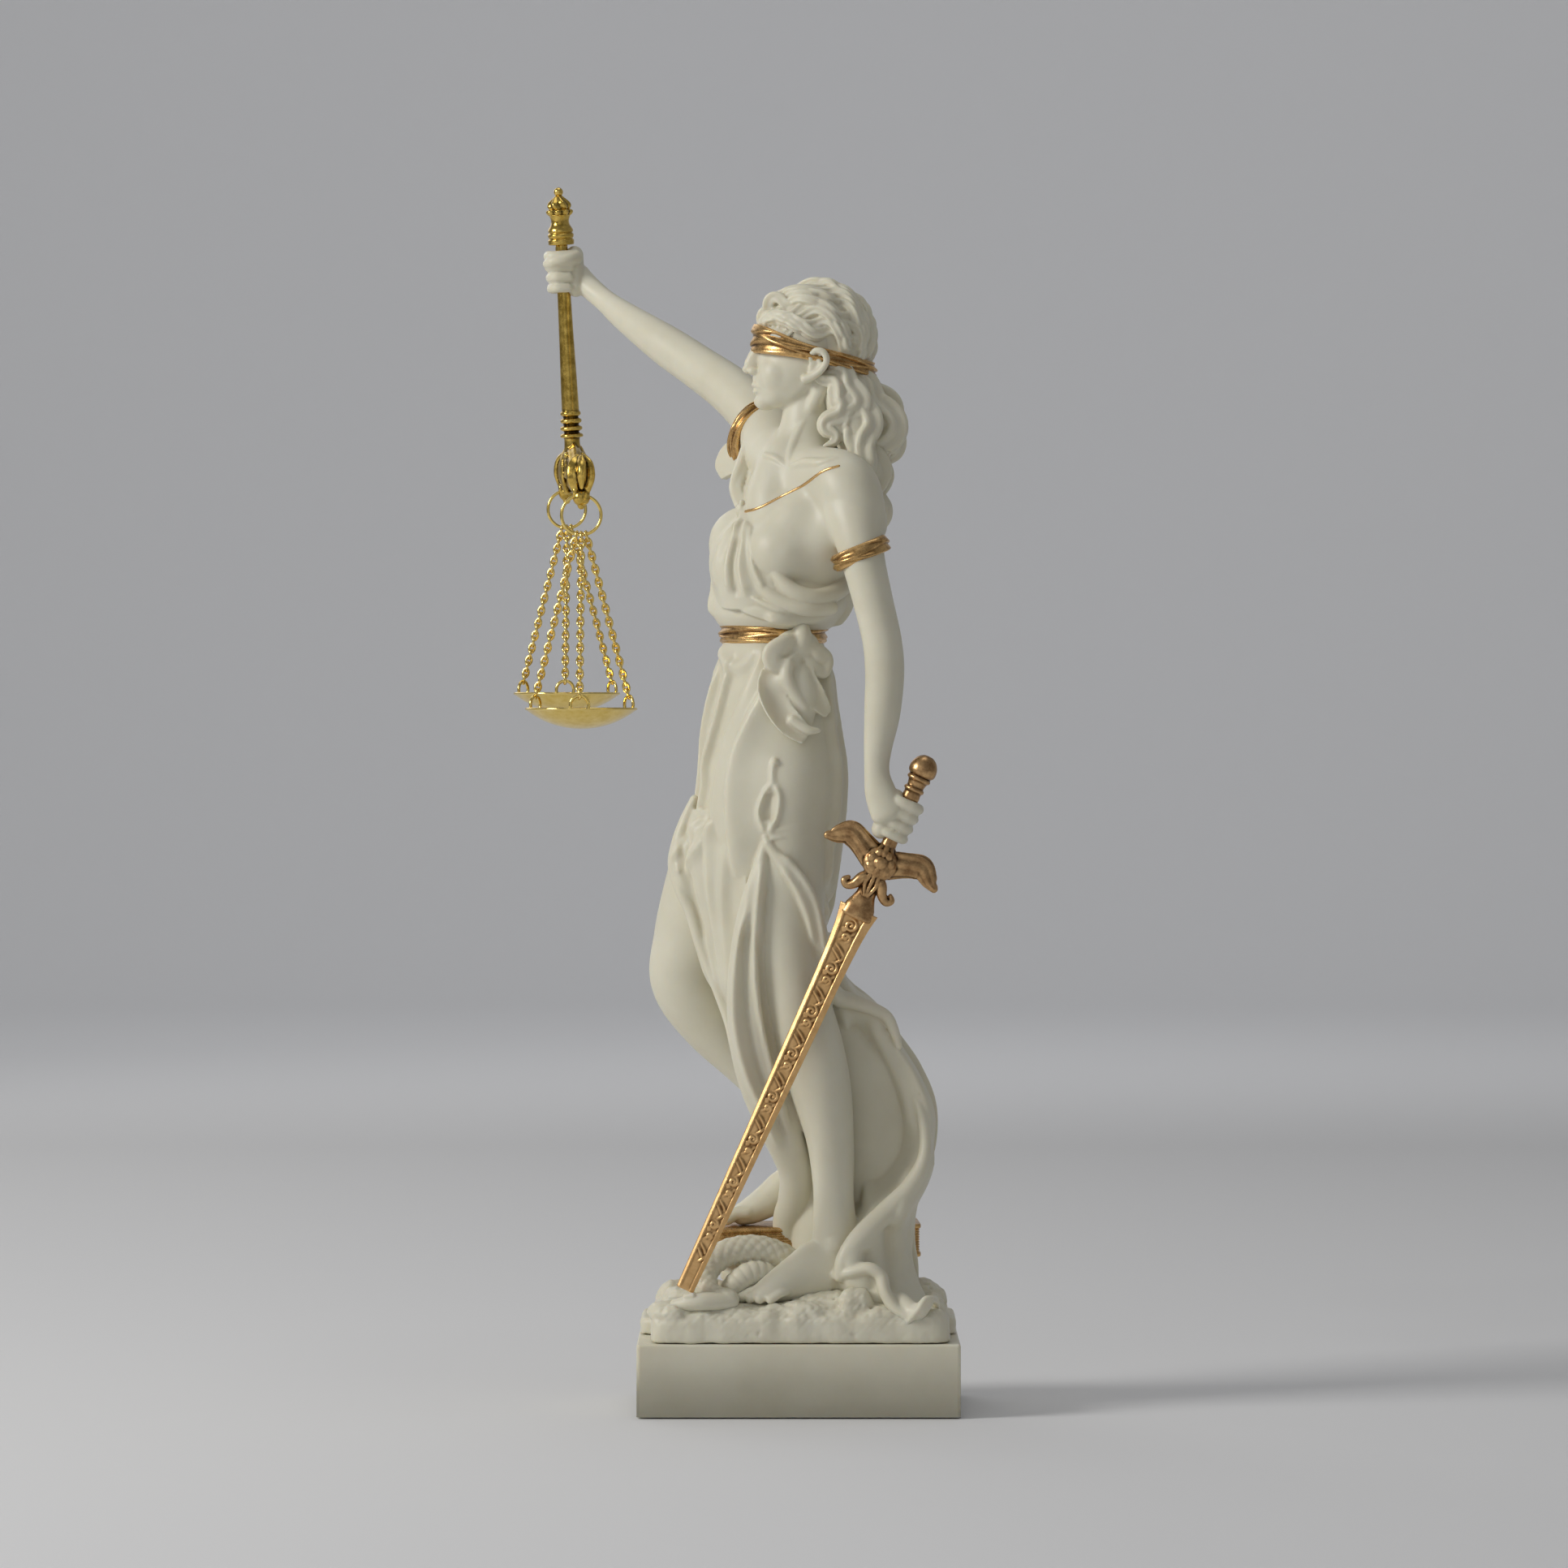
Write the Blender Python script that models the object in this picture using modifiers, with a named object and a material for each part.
"""A table statue of Justice: a cast, blindfolded figure with scales and a sword, on a plinth.

The figure is one casting: body, drapery, rock, snake and book. The plinth, the sword, the staff
with its beam, the finial, the rings, chains, hooks and pans are pieces of their own.
Lengths at the top are in metres. The figure's own forms are drawn in parts, 250 to its height.
"""

import math

import bmesh
import bpy
import numpy as np
from mathutils import Matrix, Vector

# Driving sizes, in metres
FIGURE_HEIGHT = 0.250
PLINTH_LENGTH = 0.0786
PLINTH_DEPTH = 0.054
PLINTH_HEIGHT = 0.0176
PLINTH_BEVEL = 0.0012
FIT_GAP = 0.0003

STAFF_TOP_RADIUS = 0.0016
STAFF_FOOT_RADIUS = 0.0023
COLLAR_COUNT = 4
COLLAR_PITCH = 0.0019
FINIAL_RADIUS = 0.0033
FINIAL_HEIGHT = 0.0148
BEAM_LENGTH = 0.0840
BEAM_DIRECTION = (-0.078, 0.996, 0.047)
BEAM_DEPTH = 0.0072
BEAM_WIDTH = 0.0050
BEAM_HEART = 0.515

RING_RADIUS = 0.0050
RING_WIRE = 0.00040
RING_HOLE_DROP = 0.0024
RING_SLACK = 0.0002
CHAIN_LENGTH = 0.0405
CHAIN_WIDTH = 0.0018
CHAIN_PITCH = 0.0023
CHAIN_SPREAD = 0.0013
PAN_RADIUS = 0.0138
PAN_SAG = 0.0047
PAN_WALL = 0.0006
RIM_HEIGHT = 0.0007
RIM_OVERHANG = 0.0004
HOOK_RADIUS = 0.0023
HOOK_WIRE = 0.00040
HOOK_TOP_DROP = 0.0032
HOOK_COUNT = 3

POMMEL_RADIUS = 0.0034
GRIP_RADIUS = 0.0018
GUARD_REACH = 0.0140
BLADE_TOP_WIDTH = 0.0085
BLADE_TIP_WIDTH = 0.0056
BLADE_THICKNESS = 0.0026

# Drawing canon of the figure
CANON_PARTS = 250.0
DRAWN_PLINTH_TOP = 17.6
DRAWN_BLADE_START = 37.2
VOXEL_PARTS = 0.6
SWORD_VOXEL = 0.00036
STAFF_VOXEL = 0.00045
CUTTER_VOXEL = 0.00045
FIGURE_TRIANGLES = 4350
SWORD_TRIANGLES = 600
STAFF_TRIANGLES = 660
FOLD_RELIEF = 1.5
BOOK_LEAN = 0.022

PART = FIGURE_HEIGHT / CANON_PARTS
SEAT = PLINTH_HEIGHT + FIT_GAP

# Where the two fists close, and where the sword's point rests, in parts
SCALE_FIST = (-60.9, 79.9, 284.3)
SWORD_FIST = (24.4, -28.0, 144.6)
SWORD_POINT = (-27.6, -23.6, 30.4)


def world(point):
    """A place drawn in parts, as metres above the table."""
    x, y, z = point
    return Vector((x * PART, y * PART, SEAT + (z - DRAWN_PLINTH_TOP) * PART))


# Curves, grids and meshes
def smooth_rows(rows, count):
    """Catmull-Rom curve through rows of numbers, read at count evenly spaced places."""
    rows = np.asarray(rows, float)
    padded = np.vstack([2 * rows[0] - rows[1], rows, 2 * rows[-1] - rows[-2]])
    t = np.linspace(0, len(rows) - 1, count)
    i = np.minimum(t.astype(int), len(rows) - 2)
    f = (t - i)[:, None]
    a, b, c, d = padded[i], padded[i + 1], padded[i + 2], padded[i + 3]
    return 0.5 * (2 * b + (c - a) * f + (2 * a - 5 * b + 4 * c - d) * f**2 + (3 * b - 3 * c + d - a) * f**3)


def unit(vectors):
    """Vectors along the last axis, made one long."""
    return vectors / np.maximum(np.linalg.norm(vectors, axis=-1, keepdims=True), 1e-9)


def rise(t):
    """Smooth step from 0 to 1."""
    t = np.clip(t, 0.0, 1.0)
    return t * t * (3 - 2 * t)


def limb(rows, side=(0, 1, 0), around=18, along=None, cap=4):
    """A rounded sweep along rows of (x, y, z, half width, half thickness towards side)."""
    curve = smooth_rows(rows, along or 5 * len(rows))
    path, wide, thick = curve[:, :3], curve[:, 3], curve[:, 4]
    tangent = unit(np.gradient(path, axis=0))
    turn = np.linspace(0, math.pi / 2, cap + 1)[1:]
    reach, shrink = np.sin(turn)[:, None], np.maximum(np.cos(turn), 0.08)
    head = path[0] - tangent[0] * min(wide[0], thick[0]) * reach[::-1]
    tail = path[-1] + tangent[-1] * min(wide[-1], thick[-1]) * reach
    path = np.vstack([head, path, tail])
    tangent = np.vstack([np.repeat(tangent[:1], cap, 0), tangent, np.repeat(tangent[-1:], cap, 0)])
    wide = np.concatenate([wide[0] * shrink[::-1], wide, wide[-1] * shrink])
    thick = np.concatenate([thick[0] * shrink[::-1], thick, thick[-1] * shrink])
    side = np.asarray(side, float)
    sideways = unit(side - (tangent @ side)[:, None] * tangent)
    across = np.cross(tangent, sideways)
    angle = np.linspace(0, 2 * math.pi, around, endpoint=False)
    ring_a = across[:, None] * (wide[:, None] * np.cos(angle))[..., None]
    ring_b = sideways[:, None] * (thick[:, None] * np.sin(angle))[..., None]
    return path[:, None] + ring_a + ring_b


def stack(rows, around=48, along=None, power=2.0):
    """Level sections (z, x, y, long half, short half, degrees of the long side from +X)."""
    z, x, y, long, short, turn = smooth_rows(rows, along or 5 * len(rows)).T[:, :, None]
    angle = np.linspace(0, 2 * math.pi, around, endpoint=False)[None]
    c = np.sign(np.cos(angle)) * np.abs(np.cos(angle)) ** (2 / power) * np.maximum(long, 0.05)
    s = np.sign(np.sin(angle)) * np.abs(np.sin(angle)) ** (2 / power) * np.maximum(short, 0.05)
    turn = np.radians(turn)
    px = x + c * np.cos(turn) - s * np.sin(turn)
    py = y + c * np.sin(turn) + s * np.cos(turn)
    return np.stack([px, py, np.broadcast_to(z, px.shape)], axis=-1)


def ball(centre, half, around=18, along=11):
    """An ellipsoid at centre with three half sizes."""
    up = np.linspace(-math.pi / 2, math.pi / 2, along)[:, None]
    round_ = np.linspace(0, 2 * math.pi, around, endpoint=False)[None]
    level = np.maximum(np.cos(up), 0.02)
    x = centre[0] + half[0] * level * np.cos(round_)
    y = centre[1] + half[1] * level * np.sin(round_)
    z = centre[2] + half[2] * np.sin(up) + 0 * round_
    return np.stack([x, y, z], axis=-1)


def sheet(rows, thickness, back=(0, 1, 0), fine=4):
    """A cloth panel: a net of points read as a smooth surface, thickened towards back."""
    net = np.asarray(rows, float)
    down = np.stack([smooth_rows(net[:, j], fine * len(net)) for j in range(net.shape[1])], axis=1)
    front = np.stack([smooth_rows(line, fine * net.shape[1]) for line in down])
    rear = front + np.asarray(back, float) * thickness
    return np.concatenate([front, rear[:, ::-1]], axis=1)


def normals(grid):
    """Outward directions of a closed grid of rings."""
    along = np.gradient(grid, axis=0)
    around = np.roll(grid, -1, axis=1) - np.roll(grid, 1, axis=1)
    found = unit(np.cross(around, along))
    outward = grid - grid.mean(axis=1, keepdims=True)
    return found * (1 if (found * outward).sum() > 0 else -1)


# Which way each side looks, and which coordinate runs across it
SIDES = {"near": (1, -1.0, 0), "far": (1, 1.0, 0), "front": (0, -1.0, 1), "rear": (0, 1.0, 1)}


def carve(grid, strokes):
    """Raises folds on a grid. A stroke is (side, kind, width, height, points across and up).

    A ridge is a Gaussian bank. A pleat climbs gently from the left of its line and drops on the right.
    """
    for side, kind, width, height, points in strokes:
        facing_axis, sign, u = SIDES[side]
        towards = normals(grid)
        facing = rise((towards[..., facing_axis] * sign - 0.02) / 0.3)
        line = smooth_rows(points, 6 * len(points))
        reach = 3 * width
        flat = grid[..., [u, 2]]
        near = (flat > line.min(0) - reach).all(-1) & (flat < line.max(0) + reach).all(-1)
        near &= facing > 0
        if not near.any():
            continue
        start, step = line[:-1], np.diff(line, axis=0)
        gap = flat[near][:, None] - start
        share = np.clip((gap * step).sum(-1) / np.maximum((step**2).sum(-1), 1e-9), 0, 1)
        away = gap - share[..., None] * step
        distance = np.linalg.norm(away, axis=-1)
        best = distance.argmin(1)
        pick = np.arange(len(best))
        d = distance[pick, best] / width
        where = (best + share[pick, best]) / len(step)
        turn = step[best, 0] * away[pick, best, 1] - step[best, 1] * away[pick, best, 0]
        if kind == "pleat":
            d = d * np.where(turn > 0, 0.6, 2.2)
        lift = FOLD_RELIEF * height * np.exp(-(d**2)) * rise(where / 0.16) * rise((1 - where) / 0.16)
        moved = grid[near] + towards[near] * (lift * facing[near])[:, None]
        grid = grid.copy()
        grid[near] = moved
    return grid


def grid_faces(rows, columns, start=0):
    """Quads of a grid of rings, with one face over each end."""
    i, j = np.meshgrid(np.arange(rows - 1), np.arange(columns), indexing="ij")
    k = (j + 1) % columns
    quads = np.stack([i * columns + j, i * columns + k, (i + 1) * columns + k, (i + 1) * columns + j], -1)
    faces = (quads.reshape(-1, 4) + start).tolist()
    faces.append(list(range(start + columns - 1, start - 1, -1)))
    faces.append(list(range(start + (rows - 1) * columns, start + rows * columns)))
    return faces


def mesh_of(name, grids, to_world=True):
    """One mesh of several closed grids, drawn in parts or already in metres."""
    points, faces = [], []
    for grid in grids:
        faces += grid_faces(grid.shape[0], grid.shape[1], sum(len(p) for p in points))
        points.append(grid.reshape(-1, 3))
    points = np.vstack(points)
    if to_world:
        points = points * PART + np.array([0, 0, SEAT - DRAWN_PLINTH_TOP * PART])
    mesh = bpy.data.meshes.new(name)
    mesh.from_pydata(points.tolist(), [], faces)
    shaped = bmesh.new()
    shaped.from_mesh(mesh)
    bmesh.ops.recalc_face_normals(shaped, faces=shaped.faces)
    shaped.to_mesh(mesh)
    shaped.free()
    return mesh


# The cast figure, form by form, in parts
CHEST_TURN = -66.0


def band(z, centre, half, turn, height, thickness, slope=(0.0, 0.0)):
    """A flat ribbon round a level oval; slope tips it by x and by y."""
    angle = np.linspace(0, 2 * math.pi, 25)
    t = math.radians(turn)
    x = half[0] * np.cos(angle) * math.cos(t) - half[1] * np.sin(angle) * math.sin(t)
    y = half[0] * np.cos(angle) * math.sin(t) + half[1] * np.sin(angle) * math.cos(t)
    rise_z = z + slope[0] * x + slope[1] * y
    rows = np.stack([x + centre[0], y + centre[1], rise_z, 0 * x + thickness, 0 * x + height], 1)
    return limb(rows, side=(0, 0, 1), around=10, along=48)


def head_forms():
    skull = stack(
        [(245.2, -5.4, 0, 0.5, 0.5, 0), (246.5, -4.6, 0, 4.6, 4.6, 0), (249, -2.6, 0, 6.9, 6.8, 0)]
        + [(252, -0.2, 0, 9.2, 8.2, 0), (255, 1.8, 0, 11.0, 9.2, 0), (259, 3.2, 0, 12.4, 9.7, 0)]
        + [(264, 3.6, 0, 12.6, 9.8, 0), (270, 4.0, 0, 10.6, 8.4, 0), (274, 4.5, 0, 7.0, 6.0, 0)]
        + [(277, 4.6, 0, 0.5, 0.5, 0)],
    )
    nose = limb([(-8.4, 0, 260.5, 0.7, 0.8), (-10.2, 0, 257.6, 0.9, 0.9), (-11.6, 0, 255.0, 1.2, 1.3)])
    features = [skull, nose]
    features += [ball((-10.2, s, 254.5), (1.1, 0.9, 0.9), 10, 7) for s in (-1.1, 1.1)]
    features.append(ball((-9.7, 0, 251.6), (1.1, 2.3, 0.6), 12, 7))
    features.append(ball((-9.4, 0, 250.3), (1.1, 1.9, 0.7), 12, 7))
    features.append(ball((-7.9, 0, 247.5), (1.8, 2.6, 1.9), 12, 7))
    for s in (-1, 1):
        rim = [(1.6, 9.6, 252.0), (3.8, 10.4, 252.8), (6.0, 10.9, 255.0), (6.4, 10.9, 257.4)]
        rim += [(4.8, 10.7, 258.6), (3.0, 10.3, 257.2), (3.2, 9.9, 255.0)]
        features.append(limb([(x, s * y, z, 0.8, 0.8) for x, y, z in rim], side=(0.3, s, 0), around=8))
    neck = limb(
        [(5.5, 0, 254, 6.8, 6.8), (3.4, 0, 246, 6.0, 6.0), (2.4, -0.4, 238, 6.2, 6.4)]
        + [(2.6, 0, 230, 8.0, 8.6)]
    )
    return features + [neck]


def hair_forms():
    cap = stack(
        [(250.5, 10.5, 0, 4.0, 5.0, 0), (254, 10.6, 0, 7.6, 8.6, 0), (258, 9.6, 0, 9.4, 10.2, 0)]
        + [(262, 6.6, 0, 12.6, 10.8, 0), (266, 4.9, 0, 14.2, 11.0, 0), (271, 4.3, 0, 13.4, 10.0, 0)]
        + [(274.5, 4.8, 0, 10.4, 7.8, 0), (276.6, 5.6, 0, 6.0, 4.6, 0), (277.6, 5.8, 0, 0.8, 0.8, 0)],
    )
    waves = []
    for side in ("near", "far"):
        for k in range(8):
            a = math.radians(18 + 19 * k)
            rim = (5.2 - 15 * math.cos(a), 264 + 13 * math.sin(a))
            mid = (6.5 - 8 * math.cos(a + 0.3), 263 + 7 * math.sin(a + 0.3))
            waves.append((side, "ridge", 1.3, 1.1, [rim, mid, (11.5, 258.5)]))
    forms = [carve(cap, waves)]
    forms.append(limb([(-7.6, -5.0, 268.6, 2.1, 2.4), (-8.6, 0, 270, 2.0, 2.6), (-7.6, 5, 268.6, 2.1, 2.4)]))
    for s in (-1, 1):
        roll = [(-6.6, 8.4, 266.4, 1.6, 1.5), (-1.4, 10.2, 264.8, 1.8, 1.7), (4.4, 10.9, 262.4, 1.8, 1.7)]
        roll += [(9.6, 10.2, 260.0, 1.7, 1.7), (13.6, 8.2, 257.0, 1.6, 1.6)]
        forms.append(limb([(x, s * y, z, w, t) for x, y, z, w, t in roll], around=10))
        knot = [(13.0, 3.0, 252.6, 3.2, 3.6), (17.8, 4.0, 248.6, 3.4, 3.8), (21.4, 3.4, 242.0, 3.0, 3.6)]
        knot += [(21.6, 2.6, 235.6, 2.6, 3.2), (19.6, 2.2, 231.4, 1.6, 2.4)]
        forms.append(limb([(x, s * y, z, w, t) for x, y, z, w, t in knot], around=14))
        fall = [(7.6, 9.0, 252.4, 1.7, 1.5), (11.0, 9.2, 247.5, 2.1, 1.8), (10.2, 10.6, 240, 1.9, 1.7)]
        fall += [(8.6, 12.4, 234.4, 1.5, 1.4), (7.0, 13.6, 230.6, 0.8, 0.9)]
        forms.append(limb([(x, s * y, z, w, t) for x, y, z, w, t in fall], around=10))
        curl = [(12.4, 6.5, 247, 2.2, 2.2), (15.0, 8.0, 240.6, 2.6, 2.4), (16.4, 9.4, 234.6, 2.6, 2.4)]
        curl += [(14.6, 11.4, 229.2, 2.2, 2.0), (12.4, 12.4, 227.6, 1.3, 1.3)]
        forms.append(limb([(x, s * y, z, w, t) for x, y, z, w, t in curl], around=12))
    forms.append(
        limb([(17.2, 0, 240, 3.4, 6.6), (17.6, 0, 230, 3.2, 6.4), (17.4, 0, 220, 3, 5.6), (18, 0, 211, 2, 3.6)])
    )
    return forms


def torso_forms():
    turn = CHEST_TURN
    torso = stack(
        [(235, 2.4, 0.6, 6.0, 5.0, turn), (231, 2.8, 1.0, 12.5, 7.0, turn), (227, 3.2, 0.6, 19.0, 9.0, turn)]
        + [(220, 3.2, 0, 23.2, 11.3, turn), (213, 1.8, 0, 21.8, 12.3, turn), (205, 0, 0, 19.6, 12.4, turn)]
        + [(198, -2.8, 0, 17.2, 11.6, turn), (191, -5.8, 0, 15.4, 11.2, turn)]
        + [(184, -6.2, 0, 16.4, 11.8, turn)],
    )
    forms = [torso]
    chest = [(4.4, -9, 227.0, 8.2, 7.0), (-0.6, -1, 230.0, 9.0, 7.8), (-4.6, 9, 233.6, 8.8, 8.0)]
    chest += [(-6.4, 17, 237.6, 8.2, 7.8), (-7.2, 23, 240.6, 7.6, 7.6)]
    forms.append(limb(chest, side=(0, 0, 1), around=22))
    forms.append(limb([(-3.0, -3, 233, 6, 6.4), (-5.6, -3, 224, 7.4, 9.6), (-6.6, -4, 215, 8, 11)], around=22))
    forms.append(ball((-2.8, -12.0, 209.6), (10.2, 9.9, 9.4), 24, 15))
    bust = [(6.0, -13.0, 221.0, 7.4, 6.4), (1.6, -13.6, 216.4, 8.6, 7.4), (-1.4, -13.0, 211.4, 9.4, 8.6)]
    forms.append(limb(bust, around=22))
    side_of_bust = [(12.0, -18.6, 219.0, 5.6, 6.0), (6.0, -15.6, 213.0, 7.6, 7.0), (1.0, -13, 207, 8, 7)]
    forms.append(limb(side_of_bust, around=20))
    forms.append(ball((-12.6, 3.6, 211.6), (9.9, 10.6, 10.0), 24, 15))
    blouse = stack(
        [(190.4, -5.8, 0, 13.6, 10.4, turn), (192.6, -5.4, 0, 17.4, 13.2, turn)]
        + [(196, -4.6, 0, 20.0, 15.6, turn), (200, -4.0, 0, 20.6, 16.0, turn)]
        + [(204, -4.2, 1.0, 19.0, 15.0, turn), (209, -4.6, 2.4, 16.0, 13.2, turn)]
        + [(215, -5.0, 3.4, 12.0, 11.0, turn), (221, -6.0, 4.0, 7.0, 6.0, turn)],
        along=60,
        around=72,
    )
    knot = (-13.6, 219.0)
    folds = [
        ("near", "pleat", 1.7, 1.1, [knot, (-12.4, 212), (-8.6, 204), (-1.5, 197.6)]),
        ("near", "ridge", 1.3, 1.0, [knot, (-14.6, 210), (-13.4, 201), (-9.5, 194)]),
        ("near", "ridge", 1.3, 1.0, [knot, (-17.6, 211), (-18.4, 203), (-16.5, 195)]),
        ("near", "ridge", 1.4, 1.1, [(12.6, 203), (7.5, 197.6), (0.5, 194.6), (-5.5, 194)]),
        ("front", "ridge", 1.5, 1.1, [(-2, 219), (2, 210), (4, 200), (5, 193)]),
        ("front", "ridge", 1.5, 1.1, [(-2, 219), (8, 211), (12, 202), (12, 194)]),
        ("rear", "ridge", 1.8, 1.2, [(-10, 205), (-6, 198), (-5, 192)]),
        ("rear", "ridge", 1.8, 1.2, [(4, 207), (3, 199), (2, 192)]),
        ("far", "ridge", 1.8, 1.2, [(4, 207), (0, 199), (-4, 193)]),
    ]
    forms.append(carve(blouse, folds))
    swag = [(-13.4, -5.5, 219.4, 1.5, 1.6), (-10.6, -12.5, 212.6, 1.9, 2.2), (-6.6, -17.0, 205.4, 2.2, 2.4)]
    swag += [(0.4, -19.6, 200.2, 2.6, 2.4), (7.6, -17.0, 199.4, 2.8, 2.6), (12.6, -9.0, 202.4, 2.6, 3.0)]
    forms.append(limb(swag, around=14))
    forms.append(ball((-14.0, -5.2, 219.6), (1.9, 1.9, 2.0), 12, 9))
    strap = [(-10.6, 20.0, 243.0, 2.0, 3.4), (-13.2, 13.0, 235.5, 2.2, 3.4), (-14.4, 5.0, 228.0, 2.4, 3.0)]
    strap += [(-14.2, -3.0, 221.0, 2.0, 2.2)]
    forms.append(limb(strap, around=12))
    flap = [(-10.0, 23.0, 238.0, 3.6, 3.4), (-16.0, 27.0, 235.4, 3.4, 3.0), (-19.6, 29.6, 232.4, 2.0, 2.4)]
    forms.append(limb(flap, around=12))
    forms.append(band(188.8, (-6.2, 0), (16.0, 12.2), turn, 2.4, 1.2, (0.0, 0.0)))
    forms.append(band(258.0, (4.6, 0), (14.6, 11.1), 0, 2.1, 0.8, (-0.26, 0.0)))
    return forms


def fist(centre, up, palm, turns, finger=1.45, reach=3.5):
    """A closed hand round an axis: four curled fingers, the palm behind them and a thumb across."""
    up = unit(np.asarray(up, float))
    palm = np.asarray(palm, float)
    palm = unit(palm - (palm @ up) * up)
    curl = np.cross(up, palm)
    forms = []
    for k in range(4):
        a = np.radians(np.linspace(20, turns[0] - 4 * k, 9))[:, None]
        middle = np.asarray(centre) + up * (1.5 - k) * finger * 1.92
        path = middle + (reach - 0.12 * k) * (np.cos(a) * palm + np.sin(a) * curl)
        size = np.linspace(finger * 1.08, finger * 0.9, 9)[:, None] * (1 - 0.04 * k)
        forms.append(limb(np.hstack([path, size, size]), side=up, around=10, along=22))
    steps = np.linspace(-1.35, 1.35, 5)[:, None]
    path = np.asarray(centre) + up * steps * finger * 2.2 + palm * (reach - 0.3) + curl * 0.6
    forms.append(limb(np.hstack([path, np.full((5, 2), (2.3, 3.1))]), side=curl, around=14))
    a = np.radians(np.linspace(25, turns[1], 6))[:, None]
    lift = np.linspace(3.6, 2.4, 6)[:, None] * turns[2]
    path = np.asarray(centre) + up * lift + (reach + 0.7) * (np.cos(a) * palm - np.sin(a) * curl)
    size = np.linspace(1.8, 1.2, 6)[:, None]
    forms.append(limb(np.hstack([path, size, size]), side=up, around=10))
    return forms


def sword_axis():
    pommel, point = np.array((30.1, -29.0, 156.6)), np.array(SWORD_POINT)
    return pommel, unit(point - pommel)


def arm_forms():
    right = [(-5.5, 20, 232, 8.2, 8.0), (-9, 26, 242.6, 7.2, 7.0), (-16, 35, 250.6, 6.3, 6.2)]
    right += [(-25.4, 48, 258.0, 5.5, 5.6), (-33.8, 57, 264.1, 5.1, 5.2), (-44.5, 69, 272.1, 3.7, 3.8)]
    right += [(-49.9, 76, 276.7, 2.8, 3.0), (-54.6, 80.4, 281.0, 3.2, 3.0), (-57.0, 82, 283.6, 3.2, 3.2)]
    left = [(6.6, -12.6, 224.8, 5.6, 5.4), (11.6, -19.4, 222.0, 6.8, 6.4), (14.0, -23.4, 216.0, 6.6, 6.6)]
    left += [(15.5, -26.2, 207.8, 5.4, 5.6), (18.0, -28.0, 197.4, 4.9, 5.1), (20.2, -29, 187.6, 4.8, 4.8)]
    left += [(20.8, -29, 179.8, 4.8, 4.6), (20.2, -29, 170, 4.4, 4.2), (19.2, -28.6, 162.1, 3.5, 3.3)]
    left += [(18.9, -28.6, 156.2, 3.1, 2.7), (19.8, -29.4, 151.0, 3.9, 2.7), (21.6, -30.4, 146.0, 4.3, 2.6)]
    forms = [limb(right, side=(0, 0, 1), around=22, along=60), limb(left, side=(0, 1, 0), around=22, along=60)]
    forms += fist(SCALE_FIST, (-0.044, -0.047, 0.998), (1.0, -0.12, 0.0), (318, 150, 1.0))
    forms += fist(SWORD_FIST, -sword_axis()[1], (-0.45, -0.9, 0.0), (215, 120, -1.0), finger=1.4, reach=3.1)
    forms.append(band(209.0, (15.3, -26.0), (6.3, 6.4), 0, 1.4, 0.7, (0.42, 0.0)))
    return forms


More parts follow.
